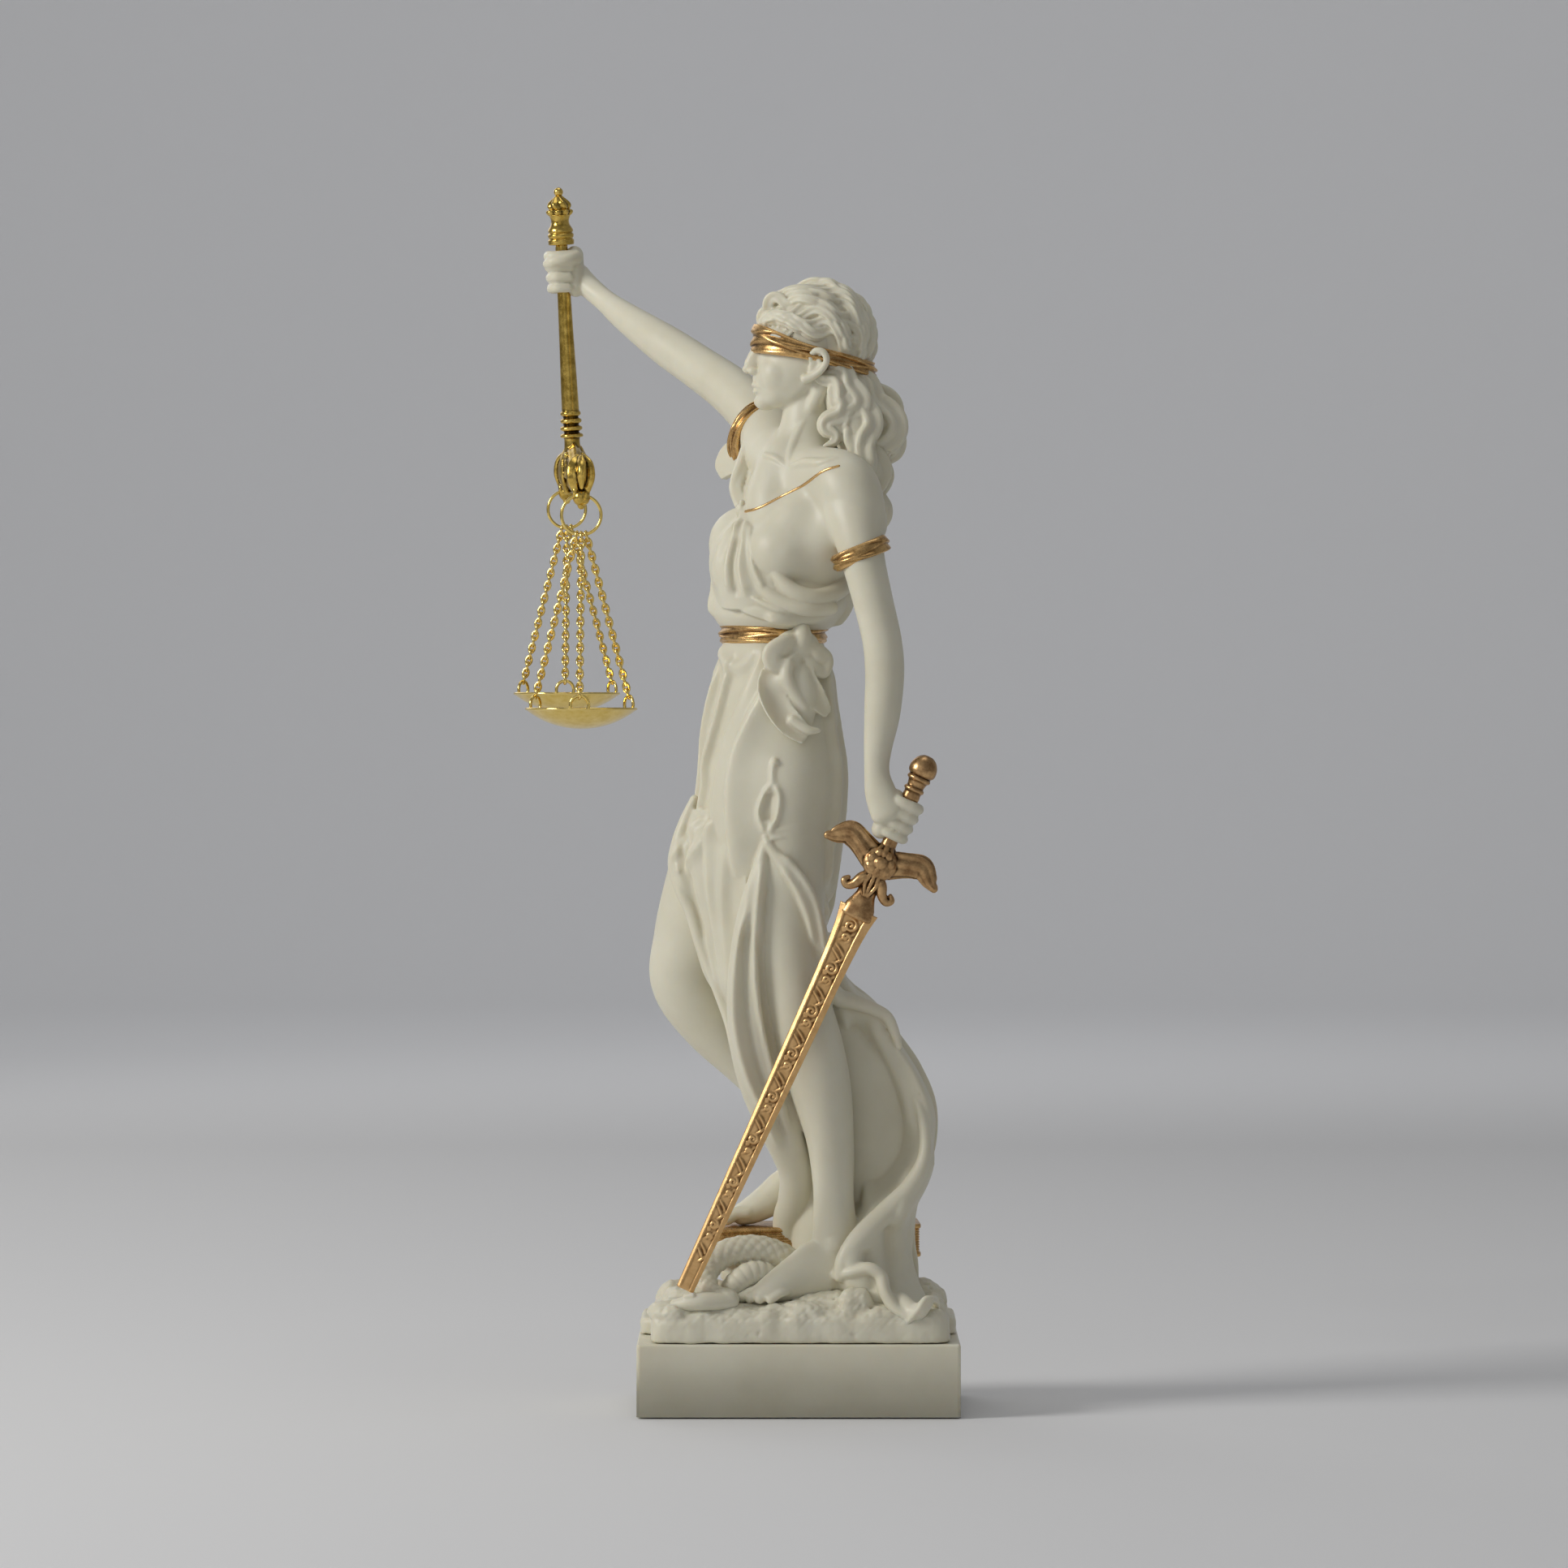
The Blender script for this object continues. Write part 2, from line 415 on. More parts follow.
def skirt_forms():
    turn = CHEST_TURN
    skirt = stack(
        [(191, -6.2, 0, 13.0, 10.0, turn), (188, -6.2, 0, 15.4, 11.6, turn)]
        + [(180, -6.2, 0, 17.0, 12.5, turn), (172, -6.6, 0, 19.0, 13.6, turn)]
        + [(164, -6.5, 0, 20.5, 14.9, turn), (156, -6.3, -0.6, 21.5, 15.7, turn)]
        + [(146, -7.0, -0.8, 21.5, 16.2, turn), (136, -8.4, -0.2, 20.8, 16.6, turn)]
        + [(126, -8.6, 0.8, 18.6, 15.4, turn), (116, -7.6, 2.0, 15.0, 13.2, turn)]
        + [(107, -5.6, 3.0, 11.0, 9.4, turn), (101, -4.0, 3.0, 6.0, 5.0, turn)],
        around=110,
        along=120,
    )
    folds = [
        ("near", "pleat", 2.0, 1.3, [(-9.5, 186), (-14.6, 174), (-17.0, 161), (-18.6, 148), (-20.5, 137)]),
        ("near", "pleat", 2.0, 1.4, [(-3.5, 182), (-10.6, 167), (-15.0, 153), (-17.2, 140), (-15.6, 126)]),
        ("near", "ridge", 1.4, 0.9, [(-15.6, 184), (-18.8, 170), (-20.2, 156), (-21.6, 144)]),
        ("near", "ridge", 1.3, 0.8, [(-12.5, 158), (-14.6, 146), (-14.0, 134), (-12.6, 124)]),
        ("near", "ridge", 0.9, 0.9, [(-5.6, 157), (-5.8, 151), (-8.0, 146), (-7.6, 141.6), (-6.0, 138.6)]),
        ("near", "ridge", 0.9, 0.9, [(-5.6, 153), (-4.6, 150), (-3.8, 146), (-4.4, 142), (-6.2, 138.4)]),
        ("near", "ridge", 1.4, 1.0, [(-7.0, 138), (0.5, 136), (5.0, 131)]),
        ("near", "ridge", 1.2, 0.9, [(-6.6, 138.6), (-1.0, 139.8), (4.6, 138.0)]),
        ("near", "ridge", 1.2, 0.8, [(1.8, 137.0), (6.0, 128.0), (7.4, 118.0)]),
        ("front", "ridge", 1.7, 1.3, [(-4, 186), (0, 168), (4, 150), (6, 134)]),
        ("front", "ridge", 1.7, 1.3, [(3, 186), (8, 166), (12, 148), (13, 132)]),
        ("front", "ridge", 1.7, 1.2, [(8, 184), (15, 164), (18, 146)]),
        ("far", "ridge", 2.0, 1.3, [(-10, 186), (-14, 166), (-20, 148)]),
        ("far", "ridge", 2.0, 1.3, [(-4, 186), (-5, 164), (-8, 144), (-10, 126)]),
        ("far", "ridge", 2.0, 1.3, [(3, 186), (4, 164), (4, 144), (3, 126)]),
        ("rear", "ridge", 2.1, 1.4, [(-6, 186), (-8, 164), (-9, 142), (-8, 122)]),
        ("rear", "ridge", 2.1, 1.4, [(1, 186), (1, 160), (0, 136), (-1, 112)]),
        ("rear", "ridge", 2.1, 1.4, [(8, 186), (10, 162), (9, 138), (6, 116)]),
    ]
    forms = [carve(skirt, folds), ball((-8.6, -19.4, 138.6), (1.3, 1.3, 1.3), 10, 7)]
    forms.append(ball((-5.6, -21.0, 158.0), (1.0, 1.0, 1.0), 10, 7))

    # The gathered panel over the right thigh, from its bunched top to the point of its hem
    panel = [
        [(-26.5, 0.0, 146.5), (-23.5, -5.5, 146.5), (-19.0, -11.0, 146.0), (-14.5, -16.0, 146)],
        [(-29.4, -0.6, 138.0), (-25.5, -6.6, 137.6), (-20.0, -12.0, 137.0), (-13.5, -17.4, 137)],
        [(-31.2, -1.0, 131.0), (-26.0, -7.0, 129.6), (-19.6, -12.6, 128.4), (-12.6, -18.0, 127)],
        [(-28.4, -3.0, 124.0), (-24.6, -6.6, 122.4), (-19.0, -11.6, 121.0), (-13.6, -17.0, 118)],
        [(-25.6, -3.4, 115.0), (-22.6, -6.4, 113.4), (-18.6, -10.4, 112.0), (-15.0, -15.4, 109)],
        [(-21.8, -3.2, 104.0), (-20.2, -5.2, 103.0), (-17.8, -8.6, 102.0), (-15.6, -13.2, 100)],
        [(-17.6, -3.0, 94.0), (-17.0, -4.6, 93.4), (-16.2, -7.0, 93.0), (-15.0, -10.4, 92)],
    ]
    gathers = [
        ("near", "ridge", 1.2, 1.0, [(-29.8, 133), (-26.5, 127), (-24.0, 117), (-21.0, 106), (-17.8, 96)]),
        ("near", "ridge", 1.1, 0.9, [(-27.0, 141), (-24.8, 132), (-22.6, 121), (-20.0, 110)]),
        ("near", "ridge", 1.1, 0.9, [(-24.0, 144), (-21.8, 134), (-20.0, 122), (-18.4, 112), (-17.0, 102)]),
        ("near", "ridge", 1.1, 0.8, [(-20.0, 146), (-18.0, 134), (-16.4, 122), (-16.0, 112)]),
        ("front", "ridge", 1.5, 1.0, [(-12, 146), (-9, 137), (-5, 130)]),
    ]
    forms.append(carve(sheet(panel, 6.0, (0.35, 0.94, 0), fine=7), gathers))
    hem = [(-30.6, 0.0, 133.0, 1.7, 2.0), (-28.4, -2.8, 124.4, 1.5, 1.6), (-25.4, -4.0, 115.0, 1.4, 1.5)]
    hem += [(-21.4, -4.6, 104.0, 1.4, 1.5), (-17.4, -5.4, 94.0, 1.4, 1.5)]
    forms.append(limb(hem, around=10))

    # The two strands that part below the button, and the fall of cloth between the feet
    inner = [(-8.2, -19.6, 138.0, 1.3, 2.0), (-10.6, -19.4, 128.0, 2.6, 2.6), (-12.0, -18.4, 116, 4.0, 3.0)]
    inner += [(-12.5, -17.0, 105.0, 4.8, 3.4), (-11.9, -14.6, 92.7, 5.2, 3.6), (-9.4, -11.0, 80.6, 4.9, 3.8)]
    inner += [(-5.2, -7.6, 68.4, 4.4, 3.8), (-0.6, -4.4, 58.0, 3.8, 3.6), (0.2, -2.4, 50.0, 3.8, 3.8)]
    inner += [(-2.0, -1.6, 45.4, 4.0, 4.0)]
    twist = [
        ("near", "ridge", 1.1, 1.3, [(-8.6, 137), (-10.4, 125), (-11.2, 112), (-10.2, 99), (-8.8, 88)]),
        ("near", "ridge", 1.0, 1.1, [(-10.6, 132), (-14.8, 112), (-16.2, 97), (-13.6, 84), (-9, 74), (-4, 62)]),
    ]
    forms.append(carve(limb(inner, around=24, along=70), twist))
    drape = [
        [(-12.0, -12.0, 106), (-8.0, -13.0, 106), (-4.0, -14.0, 106), (0.0, -12.0, 106)],
        [(-11.0, -10.0, 92), (-7.0, -10.6, 92), (-2.4, -11.6, 92), (2.0, -10.0, 92)],
        [(-8.6, -8.0, 80), (-4.8, -8.6, 80), (-0.4, -9.6, 80), (4.0, -9.0, 80)],
        [(-5.0, -5.6, 68), (-1.6, -6.0, 68), (2.6, -7.0, 68), (6.6, -8.0, 68)],
        [(-1.0, -3.0, 56), (1.6, -3.6, 56), (4.4, -5.0, 56), (7.6, -6.0, 56)],
    ]
    forms.append(sheet(drape, 5.0, fine=4))
    outer = [(-8.2, -20.0, 138.4, 1.4, 1.8), (-3.4, -21.4, 130.4, 1.9, 2.0), (1.6, -20.6, 121.6, 2.2, 2.4)]
    outer += [(4.8, -17.0, 112.6, 2.4, 3.0), (6.2, -12.0, 106.0, 2.4, 3.4), (9.0, -8.0, 101.0, 2.4, 3.4)]
    forms.append(limb(outer, around=14, along=40))
    return forms


def train_forms():
    """The long cloth that falls behind the left leg and spreads over the rock."""
    net = [
        [(3.5, -9.0, 112), (5.6, -8.6, 112), (7.2, -7.4, 112), (8.6, -5.0, 112), (8.8, -1.0, 112)],
        [(3.6, -6.0, 103), (7.2, -6.6, 103), (10.4, -6.6, 102), (13.0, -6.0, 102), (14.0, -2.5, 102)],
        [(4.2, -5.4, 97), (8.6, -5.6, 97), (13.2, -6.4, 97), (18.6, -7.2, 97), (20.6, -3.0, 97)],
        [(5.0, -5.0, 90), (11.0, -3.6, 90), (17.0, -4.6, 90), (22.6, -8.0, 90), (24.6, -4.0, 90)],
        [(5.6, -5.0, 82), (12.0, -2.0, 82), (19.4, -3.6, 82), (27.6, -9.0, 82), (29.6, -5.0, 82)],
        [(6.2, -5.0, 73), (13.4, -1.0, 73), (22.0, -3.0, 73), (31.0, -10.0, 73), (33.4, -6.0, 73)],
        [(7.0, -5.0, 64), (14.0, -1.0, 64), (22.6, -3.4, 64), (31.0, -11.0, 64), (33.2, -7.0, 64)],
        [(8.0, -5.4, 56), (14.0, -2.6, 56), (21.0, -7.0, 56), (28.4, -12.6, 56), (31.2, -8.0, 56)],
        [(8.4, -6.0, 49), (13.2, -6.0, 49), (18.0, -12.6, 49), (24.4, -14.4, 49), (29.0, -8.0, 49)],
        [(8.8, -7.0, 43), (12.0, -12.0, 43), (15.6, -16.6, 43), (21.6, -14.0, 43), (28.4, -6.4, 43)],
        [(9.0, -8.0, 37), (10.8, -16.4, 37), (14.6, -18.6, 37), (21.2, -15.4, 37), (28.6, -7.0, 37)],
        [(9.4, -9.0, 31), (11.2, -18.4, 32), (16.6, -20.4, 33), (22.0, -20.0, 31), (30.6, -9.0, 31)],
        [(10.0, -9.0, 26), (15.4, -18.6, 26), (21.4, -20.6, 27), (27.0, -22.6, 26), (34.0, -13.0, 26)],
        [(10.0, -9.0, 22), (16.4, -16.0, 22), (22.4, -18.0, 22), (29.0, -22.6, 22), (34.6, -15.0, 22)],
    ]
    folds = [
        ("near", "pleat", 1.9, 1.5, [(31.6, 66), (29.4, 56), (23.4, 48), (16.0, 42), (11.6, 36), (11.4, 31)]),
        ("near", "ridge", 1.5, 1.0, [(9.0, 101), (14.0, 88), (17.0, 72), (17.4, 58), (15.6, 48)]),
        ("near", "ridge", 1.5, 1.1, [(17.0, 96), (22.4, 86), (26.6, 76), (28.6, 66)]),
        ("near", "ridge", 1.3, 1.3, [(14.5, 34.5), (19.5, 33.5), (21.5, 29), (27.0, 23.6), (32, 24)]),
        ("near", "ridge", 1.4, 0.9, [(25.0, 46), (25.0, 38), (25.6, 31)]),
    ]
    front = carve(sheet(net, 9.0, (-0.1, 1.0, 0), fine=5), folds)
    back = stack(
        [(116, -1.0, 4.0, 9.0, 8.0, 0), (110, 1.2, 4.0, 7.6, 8.0, 0), (103, 4.6, 3.4, 8.6, 7.8, 0)]
        + [(98, 8.4, 3.2, 11.0, 7.6, 0), (91, 10.4, 3.2, 12.6, 8.0, 0), (83, 12.8, 3.4, 15.6, 8.4, 0)]
        + [(74, 14.8, 3.6, 17.4, 8.6, 0), (64, 15.0, 3.8, 17.2, 8.8, 0), (54, 14.0, 4.0, 16.0, 9.0, 0)]
        + [(46, 13.2, 4.2, 15.2, 9.4, 0), (38, 13.2, 4.6, 15.2, 10.0, 0), (30, 14.2, 5.0, 16.6, 11.0, 0)]
        + [(22, 15.4, 5.6, 18.6, 12.6, 0)],
        around=80,
        along=90,
    )
    drops = [
        ("far", "ridge", 2.0, 1.6, [(2, 112), (6, 92), (6, 70), (4, 46), (2, 24)]),
        ("far", "ridge", 2.0, 1.6, [(4, 110), (13, 92), (15, 70), (13, 46), (12, 24)]),
        ("far", "ridge", 2.0, 1.6, [(7, 106), (20, 90), (24, 70), (21, 46), (23, 24)]),
        ("rear", "ridge", 1.8, 1.4, [(2, 98), (4, 76), (2, 50), (4, 26)]),
        ("rear", "ridge", 1.8, 1.4, [(-4, 92), (-3, 70), (-5, 48), (-7, 26)]),
    ]
    return [front, carve(back, drops)]


def leg_forms():
    right = [(-12, 8, 150, 12.5, 13.0), (-17.5, 8.5, 138, 12.2, 12.4), (-21.8, 8.6, 126, 11.6, 11.4)]
    right += [(-25.6, 8.4, 114, 10.4, 10.0), (-27.8, 8, 104, 8.8, 8.8), (-21.9, 8.5, 94, 7.8, 8.0)]
    right += [(-11.4, 9.5, 83.2, 6.8, 7.2), (-2.9, 11, 72.5, 5.3, 5.6), (0, 12, 62, 3.9, 4.0)]
    right += [(-1.0, 12, 56, 3.8, 3.9)]
    left = [(-2.4, -8, 150, 11.4, 12.6), (-3.2, -9.5, 136, 10.6, 12.4), (-3.4, -10.5, 124, 9.8, 11.6)]
    left += [(-2.6, -11.4, 113, 8.9, 10.2), (-1.2, -12, 104, 8.2, 9.2), (0.8, -12, 96, 8.0, 8.6)]
    left += [(2.6, -11.6, 90, 8.0, 8.2), (4.6, -11.3, 82, 7.8, 7.8), (6.2, -11, 75, 7.1, 7.2)]
    left += [(7.6, -11, 67, 6.0, 6.2), (8.3, -11, 60, 5.3, 5.4), (8.6, -11, 52, 4.9, 4.8)]
    left += [(8.9, -11, 46, 5.5, 4.8), (9.6, -11, 38, 5.6, 4.8)]
    forms = [limb(right, around=24, along=70), limb(left, around=26, along=80)]
    forms.append(ball((-30.2, 7.6, 104.4), (6.3, 6.6, 7.0)))
    foot = [(13.0, -11.5, 31.2, 3.9, 3.8), (9.0, -11.8, 34.5, 7.2, 4.3), (4.0, -12.4, 34.5, 7.5, 4.3)]
    foot += [(0, -13, 33.6, 6.5, 4.3), (-4, -14, 31.6, 4.8, 4.5), (-8.6, -15, 29.8, 2.8, 4.5)]
    foot += [(-11.4, -15.6, 28.8, 1.9, 4.2)]
    forms.append(limb(foot, around=20, along=36))
    toes = [(-10.4, -20.0, 28.0), (-12.4, -18.6, 28.1), (-13.8, -16.9, 28.2), (-14.6, -15.0, 28.3)]
    toes.append((-14.8, -12.8, 28.6))
    for k, (x, y, z) in enumerate(toes):
        size = 0.95 + 0.09 * k
        forms.append(limb([(x + 4.4, y + 0.4, z + 1.0, size, size), (x + 1.2, y, z, size, size)], around=8))
    other = [(1.2, 12, 52.0, 3.8, 3.8), (-3.0, 12, 51.6, 4.4, 4.1), (-7.6, 12, 48.8, 3.6, 4.2)]
    other += [(-12.0, 12, 46.6, 2.7, 4.2), (-15.4, 12, 45.4, 2.1, 3.8)]
    forms.append(limb(other, around=18, along=26))
    return forms


def sash_forms():
    """The tied end of the girdle: its knot, two loops and two tails."""
    forms = [limb([(0.2, -16.6, 190.4, 1.8, 2.4), (0.4, -17.6, 186.6, 2.2, 2.2)], around=12)]
    loops = [
        [(0, -17.6, 187.6, 1.6, 1.6), (-3.4, -19.4, 184.6, 2.4, 1.8), (-5.4, -20.0, 180.6, 2.2, 1.6)],
        [(0.8, -17.2, 187.2, 1.6, 1.6), (3.8, -17.8, 184.2, 2.4, 1.8), (5.0, -17.8, 179.6, 2.2, 1.6)],
    ]
    forms += [limb(rows, around=14) for rows in loops]
    left = [(-3.4, -20.2, 181.8, 2.2, 1.4), (-6.2, -20.6, 176.4, 2.6, 1.4), (-4.6, -21.4, 170.6, 2.7, 1.4)]
    left += [(0.6, -21.6, 166.0, 2.5, 1.3), (4.6, -20.6, 164.6, 1.8, 1.2)]
    right = [(4.2, -18.2, 180.6, 2.0, 1.3), (5.8, -18.4, 176.0, 2.1, 1.3), (5.8, -18.6, 171.4, 1.7, 1.2)]
    forms += [limb(left, around=14, along=26), limb(right, around=12)]
    return forms


def ground_forms():
    """The broken rock under the feet, with the snake and the closed book."""
    rock = stack(
        [(17.6, 0.4, -0.4, 36.4, 25.6, 0), (20.0, 0.4, -0.4, 36.4, 25.6, 0), (22.8, 0.4, -0.2, 36.2, 25.2, 0)]
        + [(24.6, 0.2, 0.2, 35.4, 24.4, 0), (26.0, -0.8, 0.8, 33.0, 22.0, 0), (27.2, -2.4, 2.2, 28.0, 17.6, 0)]
        + [(28.2, -4.0, 4.0, 15.0, 10.0, 0)],
        around=160,
        along=46,
        power=14.0,
    )
    x, y, z = rock[..., 0], rock[..., 1], rock[..., 2]
    rough = 0.5 * np.sin(0.61 * x + 0.9 * np.sin(0.37 * y)) * np.cos(0.53 * y - 0.4)
    rough = rough + 0.35 * np.sin(1.3 * x + 0.9 * y)
    level = rise((z - 20.0) / 3.0)
    rock = rock + np.stack([0.3 * rough, 0.3 * rough, level * rough * 1.5], axis=-1)
    levels = [(17.6, 0, 11, 38.8, 15.4, 0), (22.0, 0, 11, 38.8, 15.4, 0), (23.0, 0, 11, 38, 14.6, 0)]
    slab = stack(levels, power=14.0)
    forms = [rock, slab]
    stones = [(-31, -18, 25.4, 5, 6, 3.6), (-18, -21, 24.6, 7, 4, 2.6), (2, -22, 24.4, 8, 3, 2.8)]
    stones += [(18, -22.6, 23, 9, 3, 2.2), (31, 4, 28, 5.4, 8, 6.4), (29, 15, 26, 6, 7, 6)]
    stones += [(-30, 12, 27, 5, 8, 5), (-16, 20, 26, 9, 4, 4), (6, 19, 30, 22, 5, 6)]
    forms += [ball((a, b, c), (d, e, f)) for a, b, c, d, e, f in stones]
    forms.append(ball((4, 13, 31), (23, 10, 7.5), 24, 11))
    levels = [(35.8, 4, 13.5, 25.6, 10.4, 2), (36.0, 4, 13.5, 26, 10.8, 2), (42.3, 4, 13.5, 26, 10.8, 2)]
    book = stack(levels, power=14.0)
    book[..., 2] += BOOK_LEAN * (book[..., 0] - 4)
    forms.append(book)
    snake = [(-17.4, -22.0, 28.0, 2.6, 2.8), (-23.4, -22.8, 29.2, 2.3, 2.6), (-28.6, -22.6, 28.6, 2.0, 2.4)]
    forms.append(limb(snake, around=14))
    coil = [(-18.0, -20.0, 28.2, 2.6, 2.8), (-22.6, -17.4, 30.4, 3.0, 3.0), (-22.0, -14.0, 35.4, 3.3, 3.2)]
    coil += [(-17.0, -11.6, 38.6, 3.5, 3.4), (-10.6, -9.4, 39.8, 3.5, 3.4), (-4.0, -8.0, 38.0, 3.6, 3.4)]
    coil += [(1.0, -6.0, 33.2, 3.6, 3.4), (2.0, -4.0, 28.0, 3.4, 3.4)]
    forms.append(limb(coil, around=18, along=50))
    inside = [(-17.4, -13.0, 28.0, 2.6, 2.6), (-13.6, -12.4, 32.0, 2.8, 2.8), (-8.4, -10.4, 33.6, 2.9, 2.8)]
    inside += [(-3.6, -8.4, 31.0, 2.8, 2.8), (-2.6, -8.0, 27.0, 2.6, 2.6)]
    forms.append(limb(inside, around=16, along=30))
    tail = [(27.0, 10.0, 30.0, 3.2, 3.4), (31.6, 4.0, 33.0, 3.2, 3.4), (33.6, -4.0, 32.0, 2.8, 3.0)]
    tail.append((32.0, -9.0, 28.0, 2.2, 2.4))
    forms.append(limb(tail, around=16, along=30))
    return forms


# Objects and modifiers
def material(name, color, roughness, metallic=0.0):
    made = bpy.data.materials.new(name)
    made.use_nodes = True
    made.diffuse_color = (*color, 1.0)
    shader = made.node_tree.nodes["Principled BSDF"]
    shader.inputs["Base Color"].default_value = (*color, 1.0)
    shader.inputs["Roughness"].default_value = roughness
    shader.inputs["Metallic"].default_value = metallic
    return made


def place(mesh, name, collection, finish=None):
    """Puts a mesh in the scene as an object."""
    made = bpy.data.objects.new(name, mesh)
    collection.objects.link(made)
    if finish:
        mesh.materials.append(finish)
    return made


def apply_all(obj):
    """Turns an object's modifiers into its mesh."""
    bpy.context.view_layer.update()
    graph = bpy.context.evaluated_depsgraph_get()
    made = bpy.data.meshes.new_from_object(obj.evaluated_get(graph))
    obj.modifiers.clear()
    old = obj.data
    obj.data = made
    bpy.data.meshes.remove(old)


def fuse(obj, voxel, smooth_rounds, triangles):
    """Joins overlapping shells into one skin and reduces it to a number of triangles."""
    remesh = obj.modifiers.new("one skin", "REMESH")
    remesh.mode = "VOXEL"
    remesh.voxel_size = voxel
    soften = obj.modifiers.new("soften", "SMOOTH")
    soften.factor = 0.5
    soften.iterations = smooth_rounds
    apply_all(obj)
    keep_largest(obj.data)
    reduce_to(obj, triangles)


def reduce_to(obj, triangles):
    obj.data.calc_loop_triangles()
    thin = obj.modifiers.new("facets", "DECIMATE")
    thin.ratio = min(1.0, triangles / max(len(obj.data.loop_triangles), 1))
    thin.use_collapse_triangulate = True
    apply_all(obj)


def keep_largest(mesh):
    """Keeps the largest connected skin and drops bubbles inside it."""
    shaped = bmesh.new()
    shaped.from_mesh(mesh)
    shaped.verts.ensure_lookup_table()
    label = [-1] * len(shaped.verts)
    groups = []
    for first in shaped.verts:
        if label[first.index] >= 0:
            continue
        group, queue = [], [first]
        label[first.index] = len(groups)
        while queue:
            vert = queue.pop()
            group.append(vert)
            for edge in vert.link_edges:
                other = edge.other_vert(vert)
                if label[other.index] < 0:
                    label[other.index] = len(groups)
                    queue.append(other)
        groups.append(group)
    largest = max(groups, key=len)
    spare = [vert for group in groups if group is not largest for vert in group]
    bmesh.ops.delete(shaped, geom=spare, context="VERTS")
    shaped.to_mesh(mesh)
    shaped.free()


def cut(obj, cutter):
    made = obj.modifiers.new("clear of " + cutter.name, "BOOLEAN")
    made.operation = "DIFFERENCE"
    made.solver = "EXACT"
    made.object = cutter


def hide(cutter):
    cutter.hide_render = True
    cutter.display_type = "WIRE"
    return cutter


# The pieces besides the figure, in metres
def turned(profile, around=16):
    """A lathe grid from (height, radius) pairs, standing on +Z."""
    angle = np.linspace(0, 2 * math.pi, around, endpoint=False)
    z, r = np.asarray(profile, float).T[:, :, None]
    return np.stack([r * np.cos(angle), r * np.sin(angle), z + 0 * angle], axis=-1)


def aimed(grid, origin, axis, roll=0.0):
    """Moves a grid so that its +Z points along axis from origin."""
    turn = Vector((0, 0, 1)).rotation_difference(Vector(axis).normalized()).to_matrix()
    turn = np.array(turn @ Matrix.Rotation(roll, 3, "Z"))
    return grid @ turn.T + np.array(origin)


def rod(points, radius, around=8, along=None, side=(0, 0, 1)):
    """A wire of one radius through points."""
    return limb([(*p, radius, radius) for p in points], side=side, around=around, along=along, cap=2)


def loop(centre, radius, wire, normal, around=5, steps=18):
    """A closed wire ring, as a mesh."""
    n = unit(np.asarray(normal, float))
    a = unit(np.cross(n, (0.13, 0.21, 0.97)))
    b = np.cross(n, a)
    turn = np.linspace(0, 2 * math.pi, steps, endpoint=False)[:, None, None]
    angle = np.linspace(0, 2 * math.pi, around, endpoint=False)[None, :, None]
    out = np.cos(turn) * a + np.sin(turn) * b
    ring = np.asarray(centre) + out * (radius + wire * np.cos(angle)) + n * (wire * np.sin(angle))
    return ring


def loop_mesh(name, grid):
    """A mesh of a grid that closes both ways."""
    rows, columns = grid.shape[:2]
    i, j = np.meshgrid(np.arange(rows), np.arange(columns), indexing="ij")
    k, m = (j + 1) % columns, (i + 1) % rows
    quads = np.stack([i * columns + j, i * columns + k, m * columns + k, m * columns + j], -1)
    mesh = bpy.data.meshes.new(name)
    mesh.from_pydata(grid.reshape(-1, 3).tolist(), [], quads.reshape(-1, 4).tolist())
    shaped = bmesh.new()
    shaped.from_mesh(mesh)
    bmesh.ops.recalc_face_normals(shaped, faces=shaped.faces)
    shaped.to_mesh(mesh)
    shaped.free()
    return mesh


def plinth_mesh():
    """The block that the statue stands on, with softened edges."""
    shaped = bmesh.new()
    bmesh.ops.create_cube(shaped, size=1.0)
    size = (PLINTH_LENGTH, PLINTH_DEPTH, PLINTH_HEIGHT)
    bmesh.ops.scale(shaped, vec=size, verts=shaped.verts)
    bmesh.ops.translate(shaped, vec=(0, 0, PLINTH_HEIGHT / 2), verts=shaped.verts)
    upright = [e for e in shaped.edges if abs(e.verts[0].co.z - e.verts[1].co.z) > PLINTH_HEIGHT / 2]
    bmesh.ops.bevel(shaped, geom=upright, offset=PLINTH_BEVEL, segments=3, affect="EDGES", profile=0.5)
    top = [e for e in shaped.edges if min(v.co.z for v in e.verts) > PLINTH_HEIGHT - 1e-6]
    bmesh.ops.bevel(shaped, geom=top, offset=PLINTH_BEVEL / 2, segments=2, affect="EDGES", profile=0.5)
    mesh = bpy.data.meshes.new("plinth")
    shaped.to_mesh(mesh)
    shaped.free()
    return mesh


def sword_frame():
    """The sword's start, its direction, the way across it, the way to the viewer, and its length."""
    pommel, direction = sword_axis()
    length = np.linalg.norm(np.array(SWORD_POINT) - pommel) * PART
    near = unit(np.array((0.0, -1.0, 0.0)) + direction * direction[1])
    return np.array(world(pommel)), direction, np.cross(near, direction), near, length


def on_sword(s, u=0.0, v=0.0):
    """A place s along the sword from the pommel, u across it and v towards the viewer, in metres."""
    start, direction, across, near, _ = sword_frame()
    return start + direction * s + across * u + near * v


